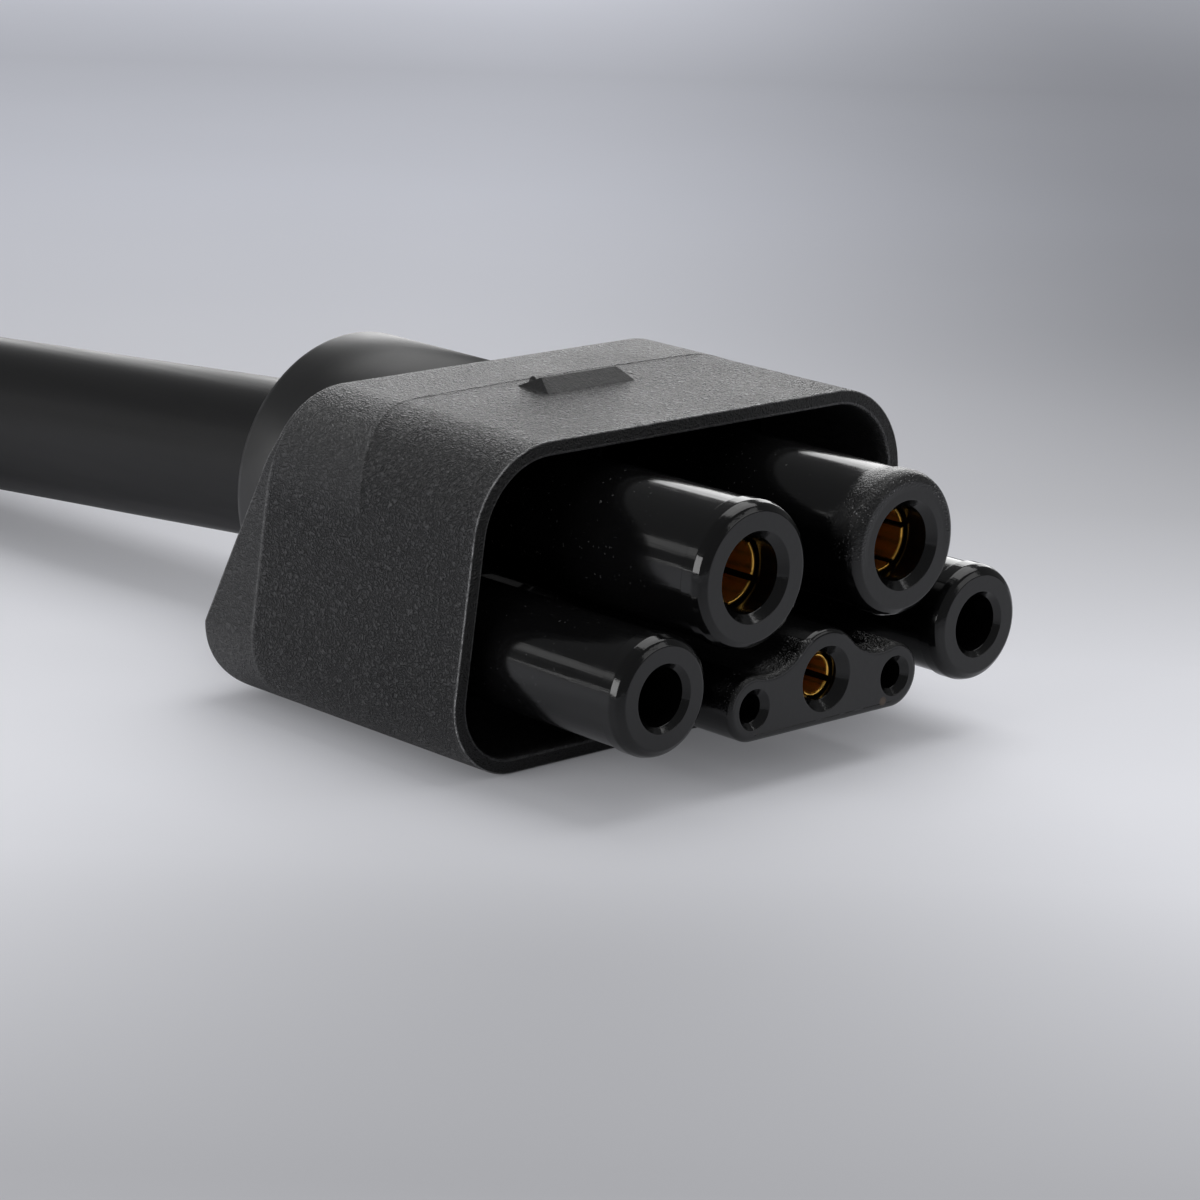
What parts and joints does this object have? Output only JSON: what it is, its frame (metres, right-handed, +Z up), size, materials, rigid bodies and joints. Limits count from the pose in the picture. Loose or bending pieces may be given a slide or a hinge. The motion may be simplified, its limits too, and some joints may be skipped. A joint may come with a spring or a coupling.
{
  "type": "ev charging adapter",
  "caption": "Keyed multi-pin charging adapter head in an open shroud, on a short thick lead that ends in a bladed power plug.",
  "frame": {"origin": "on the floor under the middle of the head, which lies on the shroud's flat underside", "axes": "-Y the way the sleeves point, +Y the way the lead leaves, +Z up"},
  "size_m": [0.0673, 0.406, 0.0517],
  "materials": {
    "grained_plastic": "fine moulded grain",
    "smooth_plastic": "satin",
    "carrier_gloss": "gloss",
    "gasket_rubber": "matte",
    "retainer_plastic": "matte",
    "contact_metal": "gold-plated",
    "board": "solder mask",
    "resistor": "gloss",
    "core_black": "satin",
    "core_red": "satin",
    "core_green": "satin",
    "core_white": "satin",
    "core_blue": "satin",
    "ferrule_steel": "plain",
    "cable_jacket": "satin",
    "relief_rubber": "matte",
    "plug_plastic": "fine grain",
    "plug_face_gloss": "satin",
    "blade_metal": "plain"
  },
  "bodies": {
    "root": {"housing": "grained_plastic", "cable_collar": "smooth_plastic", "contact_carrier": "carrier_gloss", "carrier_gasket": "gasket_rubber", "contact_retainer": "retainer_plastic", "power_contact_left": "contact_metal", "power_contact_right": "contact_metal", "ground_contact": "contact_metal", "signal_contact_left": "contact_metal", "signal_contact_right": "contact_metal", "id_board": "board", "id_resistor": "resistor", "core_line_left": "core_black", "core_line_right": "core_red", "core_ground": "core_green", "core_signal_left": "core_white", "core_signal_right": "core_blue", "cable_ferrule": "ferrule_steel", "cable": "cable_jacket", "plug_strain_relief": "relief_rubber", "plug_body": "plug_plastic", "plug_face": "plug_face_gloss", "blade_line_left": "blade_metal", "blade_line_right": "blade_metal", "blade_neutral": "blade_metal", "plug_ground_pin": "blade_metal", "temperature_sensor": "resistor"}
  },
  "joints": []
}
